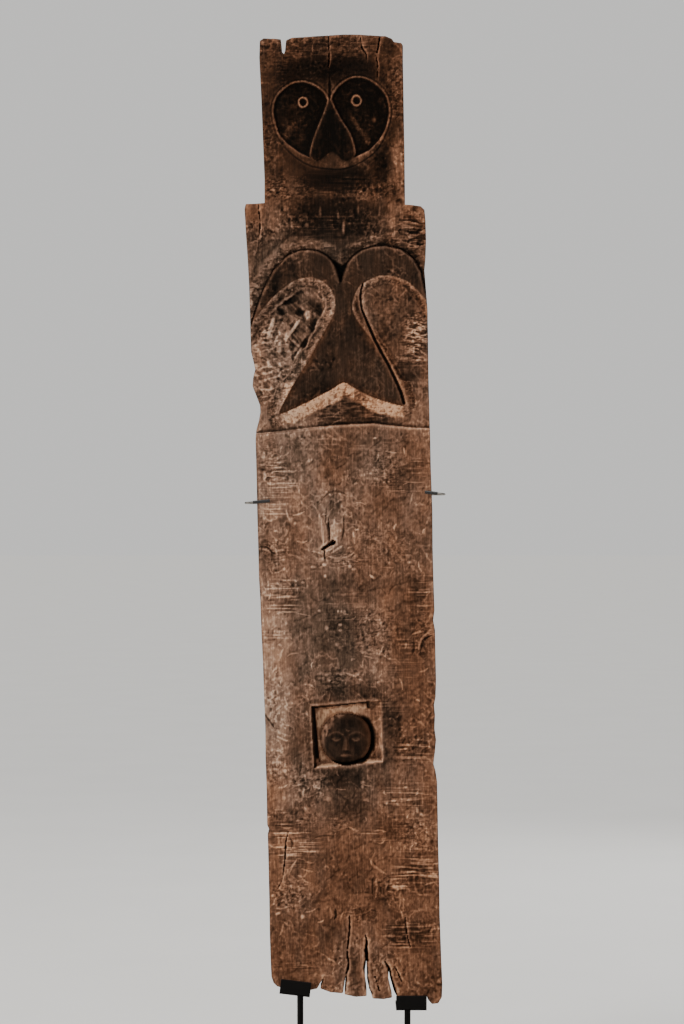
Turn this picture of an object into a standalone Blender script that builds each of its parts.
"""A tall carved ancestor board and the steel stand that holds it upright.

The board is one plank of hardwood. It carries a small face on its narrow head, a large face below the
shoulders, and a head left standing in a square niche. It rests on two padded shelves and leans against
two wrapped uprights, and two hooks reach round its edges.

Frame: metres, +Z up, the carved side faces -Y, and the origin is on the floor under the base's centre.
"""

import math

import bmesh
import bpy
from mathutils import Matrix, Vector

MM = 0.001
GAP = 0.3 * MM  # left between pieces that touch

# The board
BOARD_THICKNESS = 50 * MM
BOARD_BACK = 20 * MM
BOARD_FRONT = BOARD_BACK - BOARD_THICKNESS
RELIEF_DEPTH = 6 * MM
NICHE_DEPTH = 22 * MM

# The base
BASE_WIDTH, BASE_DEPTH, BASE_THICKNESS = 440 * MM, 300 * MM, 12 * MM
BASE_CORNER = 1.5 * MM
FELT_THICKNESS = 3 * MM
FELT_INSET = 4 * MM
BASE_UNDERSIDE = FELT_THICKNESS + GAP
BASE_TOP = BASE_UNDERSIDE + BASE_THICKNESS

# The uprights
UPRIGHT_SPREAD = 103 * MM  # each one's distance from the middle
UPRIGHT_RADIUS = 6 * MM
WRAP_RADIUS = 8 * MM
UPRIGHT_Y = BOARD_BACK + GAP + WRAP_RADIUS
UPRIGHT_TOP = 1150 * MM
WRAP_HEIGHT, WRAP_LENGTH = 985 * MM, 50 * MM
TIE_HEIGHT, TIE_DEPTH, TIE_THICKNESS = 620 * MM, 20 * MM, 6 * MM

# The screws that hold the uprights from below
FIXING_RADIUS, FIXING_HEAD_RADIUS, FIXING_LENGTH = 3 * MM, 6 * MM, 30 * MM
FIXING_HEAD_HEIGHT = FIXING_HEAD_RADIUS - FIXING_RADIUS

# The shelves: an L of thick sheet with a lip in front of the wood
SHELF_WIDTH, SHELF_SHEET, LIP_HEIGHT = 58 * MM, 5 * MM, 28 * MM
SHELF_PAD = 3 * MM
LIP_PAD = 2 * MM
SHELF_BACK = UPRIGHT_Y + UPRIGHT_RADIUS + 8 * MM
SHELF_BEND = 4 * MM

# The clamp blocks, their screws and the hooks
BLOCK_WIDTH, BLOCK_DEPTH, BLOCK_HEIGHT = 24 * MM, 28 * MM, 30 * MM
BLOCK_CORNER = 1.2 * MM
SCREW_OFFSET = 7.5 * MM  # of the two screws above and below the block's middle
SCREW_RADIUS = 2 * MM
KNOB_RADIUS, KNOB_LENGTH, KNOB_TEETH = 6 * MM, 8 * MM, 20
KNOB_GROOVE = 0.6 * MM
HOOK_RADIUS = 2 * MM
SLEEVE_RADIUS = 3 * MM
SLEEVE_SHORT = 4 * MM  # how far the sleeve stops short of the hook's bend
HOOK_Y = UPRIGHT_Y + 11.5 * MM
HOOK_TIP_Y = BOARD_FRONT - GAP - SLEEVE_RADIUS
HOOK_BEND = 9 * MM
HOOK_TAIL = 48 * MM  # from the upright's axis inwards, so that the hook can be drawn out
HOOK_TIP_RISE = 4 * MM

# What differs between the two sides: the hand-set heights, reaches and tilt
SIDES = {
    "left": {
        "sign": -1,
        "shelf_x": -113 * MM,
        "shelf_z": 148.7 * MM,
        "shelf_tilt": math.radians(7),
        "hook_z": 1083.8 * MM,
        "hook_outer_x": -206 * MM,
        "hook_tip_x": -161 * MM,
    },
    "right": {
        "sign": 1,
        "shelf_x": 109 * MM,
        "shelf_z": 120.4 * MM,
        "shelf_tilt": 0.0,
        "hook_z": 1100.5 * MM,
        "hook_outer_x": 172.5 * MM,
        "hook_tip_x": 135.5 * MM,
    },
}

# Outlines on the board's face, in millimetres: x from the stand's middle, z above the floor.
LEFT_EDGE = [
    (-148, 167), (-157, 184), (-160, 216), (-165, 462), (-171, 728), (-180, 938), (-184, 1070),
    (-187, 1203), (-178, 1257), (-181, 1280), (-194, 1310), (-188, 1336), (-196, 1374),
    (-198, 1450), (-202, 1546), (-208, 1644), (-206, 1652), (-169, 1654), (-173, 1774),
    (-180, 1926), (-180, 1965),
]
TOP_EDGE = [
    (-139, 1968), (-138, 1937), (-132, 1937), (-129, 1966), (-84, 1971), (-17, 1975),
    (40, 1973), (72, 1967), (76, 1961), (94, 1957),
]
RIGHT_EDGE = [
    (94, 1868), (96, 1754), (97, 1650), (127, 1648), (135, 1642), (137, 1584), (134, 1526),
    (140, 1450), (142, 1318), (145, 1203), (149, 1070), (153, 880), (156, 748), (153, 681),
    (156, 634), (152, 592), (158, 554), (162, 368), (166, 216), (168, 168), (166, 136),
]
BOTTOM_EDGE = [
    (158, 131), (148, 134), (143, 141), (140, 129), (80, 129), (77, 141),
    (61, 200), (71, 140), (38, 140), (27, 236), (20, 142),
    (-19, 147), (-18, 193), (-24, 147), (-64, 155), (-60, 181), (-69, 156), (-82, 153.5), (-144, 161.2),
]
NICHE = [(-80, 698), (53, 711), (55, 588), (-74, 580)]
NICHE_HEAD = {"centre": (-15, 634), "half_width": 49 * MM, "half_height": 50 * MM}
KNOT_HOLE = [(-61, 1000), (-47, 1010), (-38, 1010), (-47, 1001), (-57, 995)]

# The large face
BROW_GROOVE_UPPER = [
    (-196, 1470), (-172, 1538), (-141, 1570), (-109, 1592), (-84, 1596), (-59, 1592), (-34, 1578),
    (-18, 1568), (4, 1585), (32, 1594), (64, 1595), (95, 1588), (124, 1556), (132, 1505),
]
BROW_GROOVE_LOWER = [
    (130, 1478), (123, 1522), (108, 1547), (83, 1567), (48, 1574), (17, 1565), (-9, 1544),
    (-22, 1518), (-31, 1538), (-53, 1563), (-84, 1574), (-119, 1566), (-147, 1543), (-168, 1511),
    (-180, 1470),
]
LEFT_SOCKET = [
    (-176, 1455), (-132, 1492), (-84, 1504), (-46, 1486), (-36, 1450), (-54, 1410), (-88, 1359),
    (-112, 1322), (-142, 1276), (-170, 1290), (-178, 1370),
]
RIGHT_SOCKET = [
    (14, 1458), (22, 1492), (57, 1508), (92, 1500), (114, 1482), (128, 1440), (131, 1370),
    (124, 1290), (96, 1274), (78, 1312), (44, 1388), (18, 1428),
]
MOUTH_FIELD = [
    (-124, 1254), (-94, 1270), (-59, 1289), (-21, 1306), (4, 1291), (35, 1277), (62, 1264),
    (88, 1252), (84, 1240), (40, 1232), (-15, 1230), (-110, 1234),
]

# The small face on the head
LEFT_EYE_FIELD = [
    (-151, 1834), (-144, 1862), (-124, 1880), (-100, 1886), (-75, 1880), (-58, 1866), (-54, 1848),
    (-62, 1822), (-74, 1792), (-83, 1762), (-85, 1738), (-110, 1742), (-132, 1766), (-146, 1800),
]
RIGHT_EYE_FIELD = [
    (63, 1834), (58, 1862), (38, 1884), (11, 1893), (-14, 1885), (-33, 1868), (-40, 1848),
    (-32, 1824), (-18, 1796), (-4, 1772), (6, 1752), (16, 1744), (38, 1762), (54, 1796),
]
CHIN_FIELD = [
    (-78, 1730), (-58, 1726), (-42, 1742), (-26, 1726), (-4, 1730), (12, 1722), (-8, 1710),
    (-40, 1706), (-68, 1710), (-88, 1722),
]
SMOOTH_STEPS = 3

XZ_PLANE = Matrix(((1, 0, 0, 0), (0, 0, -1, 0), (0, 1, 0, 0), (0, 0, 0, 1)))
YZ_PLANE = Matrix(((0, 0, 1, 0), (1, 0, 0, 0), (0, 1, 0, 0), (0, 0, 0, 1)))


# ---------------------------------------------------------------- scene helpers


def clear_scene():
    for obj in list(bpy.data.objects):
        bpy.data.objects.remove(obj)


def new_collection(name):
    collection = bpy.data.collections.new(name)
    bpy.context.scene.collection.children.link(collection)
    return collection


def material(name, colour, roughness, metallic=0.0):
    made = bpy.data.materials.new(name)
    made.use_nodes = True
    shader = made.node_tree.nodes["Principled BSDF"]
    shader.inputs["Base Color"].default_value = (*colour, 1)
    shader.inputs["Roughness"].default_value = roughness
    shader.inputs["Metallic"].default_value = metallic
    return made


def new_object(name, data, collection):
    made = bpy.data.objects.new(name, data)
    collection.objects.link(made)
    return made


def mesh_object(name, shape, collection):
    """An object of the bmesh `shape`, shaded smooth apart from its sharp edges."""
    data = bpy.data.meshes.new(name)
    bmesh.ops.recalc_face_normals(shape, faces=shape.faces)
    shape.to_mesh(data)
    shape.free()
    data.shade_smooth()
    data.set_sharp_from_angle(angle=math.radians(35))
    return new_object(name, data, collection)


def finish(obj, surface, parent=None):
    """Gives a part its material and hangs it on its frame, keeping it in place."""
    obj.data.materials.clear()
    obj.data.materials.append(surface)
    if parent is not None:
        obj.parent = parent
    return obj


def cut(obj, cutter, name):
    """Cuts `cutter` out of `obj` with a Boolean that stays live."""
    cutter.hide_render = True
    cutter.display_type = "WIRE"
    modifier = obj.modifiers.new(name, "BOOLEAN")
    modifier.operation = "DIFFERENCE"
    modifier.object = cutter


def bevel(obj, width, segments=2):
    modifier = obj.modifiers.new("rounded_edges", "BEVEL")
    modifier.width = width
    modifier.segments = segments
    modifier.limit_method = "ANGLE"


# ---------------------------------------------------------------- basic shapes


def box(name, size, collection):
    shape = bmesh.new()
    bmesh.ops.create_cube(shape, size=1)
    bmesh.ops.scale(shape, vec=Vector(size), verts=shape.verts)
    return mesh_object(name, shape, collection)


def cylinder(name, radius, length, collection, axis="Z", sides=32, end_radius=None):
    """A cylinder or, with `end_radius`, a cone, centred on its own origin."""
    shape = bmesh.new()
    bmesh.ops.create_cone(
        shape, cap_ends=True, segments=sides, radius1=radius,
        radius2=radius if end_radius is None else end_radius, depth=length,
    )
    turn = {"X": Matrix.Rotation(math.pi / 2, 4, "Y"), "Y": Matrix.Rotation(-math.pi / 2, 4, "X")}
    if axis in turn:
        bmesh.ops.transform(shape, matrix=turn[axis], verts=shape.verts)
    return mesh_object(name, shape, collection)


def turned(name, profile, collection, sides=32):
    """A solid of revolution about Z. `profile` runs (radius, height) from the top down its outer side."""
    data = bpy.data.meshes.new(name)
    points = [(radius, 0, height) for radius, height in profile]
    data.from_pydata(points, [(i, i + 1) for i in range(len(points) - 1)], [])
    made = new_object(name, data, collection)
    screw = made.modifiers.new("turn", "SCREW")
    screw.steps = screw.render_steps = sides
    screw.use_merge_vertices = True
    screw.merge_threshold = 0.01 * MM
    return made


def outline_plate(name, points, thickness, plane, collection):
    """A plate of the closed outline `points`, extruded by half its thickness to each side of its plane."""
    curve = bpy.data.curves.new(name, "CURVE")
    curve.dimensions = "2D"
    curve.fill_mode = "BOTH"
    curve.extrude = thickness / 2
    spline = curve.splines.new("POLY")
    spline.points.add(len(points) - 1)
    for point, (u, v) in zip(spline.points, points):
        point.co = (u, v, 0, 1)
    spline.use_cyclic_u = True
    return curve_as_mesh(name, curve, plane, collection)


def curve_as_mesh(name, curve, plane, collection):
    """Turns a curve into a welded mesh, so that it can be cut, and lays it in `plane`."""
    drawn = new_object(name + "_curve", curve, collection)
    bpy.context.view_layer.update()
    evaluated = drawn.evaluated_get(bpy.context.evaluated_depsgraph_get())
    data = bpy.data.meshes.new_from_object(evaluated)
    bpy.data.objects.remove(drawn)
    shape = bmesh.new()
    shape.from_mesh(data)
    bmesh.ops.remove_doubles(shape, verts=shape.verts, dist=0.001 * MM)
    bmesh.ops.transform(shape, matrix=plane, verts=shape.verts)
    return mesh_object(name, shape, collection)


def smooth_loop(points, steps=SMOOTH_STEPS):
    """The closed Catmull-Rom curve through `points`, with `steps` points for each stretch."""
    found = []
    count = len(points)
    for i in range(count):
        p0, p1, p2, p3 = (Vector(points[(i + k) % count]) for k in (-1, 0, 1, 2))
        for step in range(steps):
            t = step / steps
            found.append(
                0.5 * (2 * p1 + (p2 - p0) * t + (2 * p0 - 5 * p1 + 4 * p2 - p3) * t**2
                       + (3 * p1 - p0 - 3 * p2 + p3) * t**3)
            )
    return found


def rounded_path(corners, radius, steps=5):
    """A path through `corners` whose inner corners are arcs of `radius`."""
    path = [corners[0]]
    for before, corner, after in zip(corners, corners[1:], corners[2:]):
        arrive, leave = (corner - before).normalized(), (after - corner).normalized()
        turn = arrive.angle(leave)
        reach = radius * math.tan(turn / 2)
        centre = corner - arrive * reach + (leave - arrive * arrive.dot(leave)).normalized() * radius
        start = corner - arrive * reach - centre
        axis = arrive.cross(leave).normalized()
        for step in range(steps + 1):
            path.append(centre + Matrix.Rotation(turn * step / steps, 3, axis) @ start)
    path.append(corners[-1])
    return path


def in_metres(points):
    return [(x * MM, z * MM) for x, z in points]


# ---------------------------------------------------------------- the board


def face_cutter(name, points, depth, cutters, smooth=True):
    """A prism that sinks the outline `points` into the board's face by `depth`."""
    outline = in_metres(smooth_loop(points) if smooth else points)
    above = 5 * MM
    prism = outline_plate(name, outline, depth + above, XZ_PLANE, cutters)
    prism.location.y = BOARD_FRONT + (depth - above) / 2
    return prism


def niche_cutter(cutters):
    """The square niche, less the rounded head that stands in it."""
    shape = bmesh.new()
    bmesh.ops.create_uvsphere(shape, u_segments=32, v_segments=16, radius=1)
    size = (NICHE_HEAD["half_width"], NICHE_DEPTH * 1.25, NICHE_HEAD["half_height"])
    bmesh.ops.scale(shape, vec=Vector(size), verts=shape.verts)
    head = mesh_object("niche_head", shape, cutters)
    x, z = NICHE_HEAD["centre"]
    head.location = (x * MM, BOARD_FRONT + size[1] + 1 * MM, z * MM)
    niche = face_cutter("niche", NICHE, NICHE_DEPTH, cutters, smooth=False)
    cut(niche, head, "head")
    return niche


def carved_board(parts, cutters, wood):
    """The plank with its stepped outline, splits, two relief faces, niche and knot hole."""
    outline = in_metres(LEFT_EDGE + TOP_EDGE + RIGHT_EDGE + BOTTOM_EDGE)
    board = outline_plate("carved_board", outline, BOARD_THICKNESS, XZ_PLANE, parts)
    board.location.y = (BOARD_FRONT + BOARD_BACK) / 2
    shallow = 0.7 * RELIEF_DEPTH
    brow = BROW_GROOVE_UPPER + BROW_GROOVE_LOWER
    cuts = [
        face_cutter("brow_groove", brow, shallow, cutters, smooth=False),
        face_cutter("left_socket", LEFT_SOCKET, RELIEF_DEPTH, cutters),
        face_cutter("right_socket", RIGHT_SOCKET, RELIEF_DEPTH, cutters),
        face_cutter("mouth_field", MOUTH_FIELD, shallow, cutters),
        face_cutter("left_eye_field", LEFT_EYE_FIELD, shallow, cutters),
        face_cutter("right_eye_field", RIGHT_EYE_FIELD, shallow, cutters),
        face_cutter("chin_field", CHIN_FIELD, shallow, cutters),
        face_cutter("knot_hole", KNOT_HOLE, 2 * BOARD_THICKNESS, cutters),
        niche_cutter(cutters),
    ]
    for cutter in cuts:
        cut(board, cutter, cutter.name)
    return finish(board, wood)


# ---------------------------------------------------------------- the fixed stand


def base(parts, cutters, steel, felt):
    """The heavy plate, its felt sole and the two countersunk holes for the fixing screws."""
    sole = box("base_felt", (BASE_WIDTH - 2 * FELT_INSET, BASE_DEPTH - 2 * FELT_INSET, FELT_THICKNESS), parts)
    sole.location.z = FELT_THICKNESS / 2
    plate = box("base_plate", (BASE_WIDTH, BASE_DEPTH, BASE_THICKNESS), parts)
    plate.location.z = BASE_UNDERSIDE + BASE_THICKNESS / 2
    bevel(plate, BASE_CORNER)
    for side, values in SIDES.items():
        place = (values["sign"] * UPRIGHT_SPREAD, UPRIGHT_Y)
        hole = cylinder(f"fixing_hole_{side}", FIXING_RADIUS + GAP, 3 * BASE_THICKNESS, cutters, sides=24)
        hole.location = (*place, BASE_TOP)
        cut(plate, hole, hole.name)
        sink_height = FIXING_HEAD_HEIGHT + 2 * GAP
        sink = cylinder(
            f"countersink_{side}", FIXING_HEAD_RADIUS + 2 * GAP, sink_height, cutters, sides=24,
            end_radius=FIXING_RADIUS,
        )
        sink.location = (*place, BASE_UNDERSIDE - GAP / 2 + sink_height / 2)
        cut(plate, sink, sink.name)
    finish(sole, felt)
    return finish(plate, steel)


def fixing_screw(side, place, parts, steel):
    """A countersunk screw, head down, that pulls the upright onto the base."""
    head_z = BASE_UNDERSIDE + GAP
    profile = [
        (0, head_z + FIXING_LENGTH), (FIXING_RADIUS - 0.6 * MM, head_z + FIXING_LENGTH),
        (FIXING_RADIUS, head_z + FIXING_LENGTH - 0.6 * MM), (FIXING_RADIUS, head_z + FIXING_HEAD_HEIGHT),
        (FIXING_HEAD_RADIUS, head_z), (0, head_z),
    ]
    screw = turned(f"upright_screw_{side}", profile, parts, sides=24)
    screw.location = (*place, 0)
    return finish(screw, steel)


def upright(side, place, parts, cutters, steel):
    """A round bar with a domed top and a tapped hole in its foot."""
    foot = BASE_TOP + GAP
    dome = 2 * MM
    profile = [
        (0, UPRIGHT_TOP), (UPRIGHT_RADIUS - dome, UPRIGHT_TOP), (UPRIGHT_RADIUS, UPRIGHT_TOP - dome),
        (UPRIGHT_RADIUS, foot), (0, foot),
    ]
    bar = turned(f"upright_{side}", profile, parts)
    bar.location = (*place, 0)
    tapped = cylinder(f"tapped_hole_{side}", FIXING_RADIUS + GAP, 2 * FIXING_LENGTH, cutters, sides=24)
    tapped.location = (*place, BASE_UNDERSIDE + 2 * GAP)
    cut(bar, tapped, tapped.name)
    return finish(bar, steel)


def wrap(side, place, parts, cutters, felt):
    """The felt wrapped round the upright where the board's back leans on it."""
    sleeve = cylinder(f"upright_wrap_{side}", WRAP_RADIUS, WRAP_LENGTH, parts)
    sleeve.location = (*place, WRAP_HEIGHT)
    bore = cylinder(f"wrap_bore_{side}", UPRIGHT_RADIUS + GAP, 2 * WRAP_LENGTH, cutters)
    bore.location = sleeve.location
    cut(sleeve, bore, bore.name)
    return finish(sleeve, felt)


def tie_bar(parts, steel):
    """The flat bar brazed between the uprights."""
    length = 2 * (UPRIGHT_SPREAD - UPRIGHT_RADIUS - GAP)
    bar = box("tie_bar", (length, TIE_THICKNESS, TIE_DEPTH), parts)
    bar.location = (0, UPRIGHT_Y, TIE_HEIGHT)
    bevel(bar, 0.8 * MM, segments=1)
    return finish(bar, steel)


def shelf_frame(side, values, parts):
    """The empty at the middle of a shelf's underside, tilted as the shelf is."""
    frame = new_object(f"shelf_frame_{side}", None, parts)
    frame.location = (values["shelf_x"], 0, values["shelf_z"])
    frame.rotation_euler.y = values["shelf_tilt"]
    return frame


def shelf(side, frame, parts, cutters, steel):
    """The L of sheet steel that carries the board, with a hole for its upright."""
    front = BOARD_FRONT - 2 * GAP - LIP_PAD
    lip_front = front - SHELF_SHEET
    section = [
        (lip_front, LIP_HEIGHT), (front, LIP_HEIGHT), (front, SHELF_SHEET), (SHELF_BACK, SHELF_SHEET),
        (SHELF_BACK, 0), (lip_front + SHELF_BEND, 0),
    ]
    bend_steps = 4
    for step in range(1, bend_steps + 1):
        angle = math.pi / 2 * step / bend_steps
        section.append(
            (lip_front + SHELF_BEND * (1 - math.sin(angle)), SHELF_BEND * (1 - math.cos(angle)))
        )
    made = outline_plate(f"shelf_{side}", section, SHELF_WIDTH, YZ_PLANE, parts)
    bevel(made, 0.6 * MM, segments=1)
    bore = cylinder(f"shelf_hole_{side}", UPRIGHT_RADIUS + GAP, 4 * LIP_HEIGHT, cutters)
    bore.location = (SIDES[side]["sign"] * UPRIGHT_SPREAD, UPRIGHT_Y, SIDES[side]["shelf_z"])
    cut(made, bore, bore.name)
    return finish(made, steel, frame)


def shelf_pad(side, frame, parts, felt):
    """The felt that lines the shelf and its lip. It stops short of the upright."""
    front = BOARD_FRONT - GAP - LIP_PAD
    top = SHELF_SHEET + GAP + SHELF_PAD
    low = SHELF_SHEET + GAP
    lip_top = LIP_HEIGHT - 2 * MM
    back = BOARD_BACK
    section = [
        (front, low), (back, low), (back, top), (front + LIP_PAD, top), (front + LIP_PAD, lip_top),
        (front, lip_top),
    ]
    pad = outline_plate(f"shelf_pad_{side}", section, SHELF_WIDTH - 2 * MM, YZ_PLANE, parts)
    return finish(pad, felt, frame)


# ---------------------------------------------------------------- the moving clamps and hooks


def clamp_block(side, frame, parts, cutters, steel):
    """The block that slides on the upright, drilled for the upright, the hook and the two screws."""
    block = box(f"clamp_block_{side}", (BLOCK_WIDTH, BLOCK_DEPTH, BLOCK_HEIGHT), parts)
    shift = BLOCK_DEPTH / 2 - WRAP_RADIUS
    block.data.transform(Matrix.Translation((0, shift, 0)))
    bevel(block, BLOCK_CORNER)
    long = 3 * BLOCK_DEPTH
    hook_y = HOOK_Y - UPRIGHT_Y
    holes = [
        (cylinder(f"upright_bore_{side}", UPRIGHT_RADIUS + GAP, long, cutters), (0, 0, 0)),
        (
            cylinder(f"hook_bore_{side}", HOOK_RADIUS + GAP, long, cutters, axis="X", sides=24),
            (0, hook_y, SCREW_OFFSET),
        ),
    ]
    for z in (SCREW_OFFSET, -SCREW_OFFSET):
        name = f"screw_bore_{side}_{'upper' if z > 0 else 'lower'}"
        hole = cylinder(name, SCREW_RADIUS + GAP, long, cutters, axis="Y", sides=24)
        start = hook_y if z > 0 else 0
        holes.append((hole, (0, start + long / 2, z)))
    for hole, place in holes:
        hole.location = frame.location + Vector(place)
        cut(block, hole, hole.name)
    return finish(block, steel, frame)


def thumb_screw(name, tip, place, parts, cutters, steel):
    """A knurled screw along +Y. Its tip stands `tip` ahead of the block's rear face, at `place`."""
    teeth = []
    for i in range(2 * KNOB_TEETH):
        angle = math.pi * i / KNOB_TEETH
        radius = KNOB_RADIUS - KNOB_GROOVE * (i % 2)
        teeth.append((radius * math.cos(angle), radius * math.sin(angle)))
    clearance = 0.5 * MM
    screw = outline_plate(name, teeth, KNOB_LENGTH, XZ_PLANE, parts)
    screw.data.transform(Matrix.Translation((0, clearance + KNOB_LENGTH / 2, 0)))
    overlap = 1 * MM
    shank = cylinder(name + "_shank", SCREW_RADIUS, tip + clearance + overlap, cutters, axis="Y", sides=20)
    shank.data.transform(Matrix.Translation((0, (clearance + overlap - tip) / 2, 0)))
    shank.hide_render = True
    shank.display_type = "WIRE"
    join = screw.modifiers.new("shank", "BOOLEAN")
    join.operation = "UNION"
    join.object = shank
    shank.location = screw.location = place
    return finish(screw, steel)


def hook(side, values, frame, parts, steel):
    """The bent rod: along behind the board, forward past its edge, and in over its face."""
    tail_x = values["sign"] * (UPRIGHT_SPREAD - HOOK_TAIL)
    z = values["hook_z"]
    corners = [
        Vector((tail_x, HOOK_Y, z)), Vector((values["hook_outer_x"], HOOK_Y, z)),
        Vector((values["hook_outer_x"], HOOK_TIP_Y, z)),
        Vector((values["hook_tip_x"], HOOK_TIP_Y, z + HOOK_TIP_RISE)),
    ]
    curve = bpy.data.curves.new(f"hook_{side}", "CURVE")
    curve.dimensions = "3D"
    curve.bevel_depth = HOOK_RADIUS
    curve.bevel_resolution = 3
    curve.use_fill_caps = True
    spline = curve.splines.new("POLY")
    path = rounded_path(corners, HOOK_BEND)
    spline.points.add(len(path) - 1)
    for point, place in zip(spline.points, path):
        point.co = (*(place - frame.location), 1)
    rod = new_object(f"hook_{side}", curve, parts)
    rod.data.materials.append(steel)
    rod.parent = frame
    return corners


def hook_sleeve(side, corners, frame, parts, cutters, rubber):
    """The soft tube pushed over the hook's tip, where it touches the wood."""
    tip, outer = corners[3], corners[2]
    along = (outer - tip).normalized()
    beyond = 1 * MM
    length = (outer - tip).length - HOOK_BEND - SLEEVE_SHORT
    middle = tip + along * (length / 2 - beyond)
    turn = along.to_track_quat("Z", "Y").to_matrix().to_4x4()
    sleeve = cylinder(f"hook_sleeve_{side}", SLEEVE_RADIUS, length, parts, sides=24)
    bore = cylinder(f"sleeve_bore_{side}", HOOK_RADIUS + GAP, 2 * length, cutters, sides=24)
    sleeve.data.transform(Matrix.Translation(middle - frame.location) @ turn)
    bore.data.transform(Matrix.Translation(middle) @ turn)
    cut(sleeve, bore, bore.name)
    return finish(sleeve, rubber, frame)


def clamp(side, values, parts, cutters, steel, bare, rubber):
    """One clamp: its block on the upright, its two thumb screws, and its hook with the sleeve."""
    x = values["sign"] * UPRIGHT_SPREAD
    block_z = values["hook_z"] - SCREW_OFFSET
    frame = new_object(f"clamp_frame_{side}", None, parts)
    frame.location = (x, UPRIGHT_Y, block_z)
    clamp_block(side, frame, parts, cutters, steel)
    rear = UPRIGHT_Y + BLOCK_DEPTH - WRAP_RADIUS
    hook_tip = rear - (HOOK_Y + HOOK_RADIUS + GAP)
    upright_tip = rear - (UPRIGHT_Y + UPRIGHT_RADIUS + GAP)
    thumb_screw(f"hook_screw_{side}", hook_tip, (x, rear, block_z + SCREW_OFFSET), parts, cutters, bare)
    thumb_screw(f"block_screw_{side}", upright_tip, (x, rear, block_z - SCREW_OFFSET), parts, cutters, bare)
    corners = hook(side, values, frame, parts, bare)
    hook_sleeve(side, corners, frame, parts, cutters, rubber)


def main():
    clear_scene()
    parts = new_collection("ancestor_board")
    cutters = new_collection("cutters")
    cutters.hide_render = True
    wood = material("carved_wood", (0.19, 0.11, 0.065), 0.75)
    steel = material("blackened_steel", (0.03, 0.03, 0.032), 0.45, 0.7)
    bare = material("bare_steel", (0.35, 0.34, 0.33), 0.4, 1.0)
    felt = material("black_felt", (0.02, 0.02, 0.02), 1.0)
    rubber = material("black_rubber", (0.015, 0.015, 0.015), 0.55)

    carved_board(parts, cutters, wood)
    base(parts, cutters, steel, felt)
    tie_bar(parts, steel)
    for side, values in SIDES.items():
        place = (values["sign"] * UPRIGHT_SPREAD, UPRIGHT_Y)
        fixing_screw(side, place, parts, bare)
        upright(side, place, parts, cutters, steel)
        wrap(side, place, parts, cutters, felt)
        frame = shelf_frame(side, values, parts)
        shelf(side, frame, parts, cutters, steel)
        shelf_pad(side, frame, parts, felt)
        clamp(side, values, parts, cutters, steel, bare, rubber)


main()
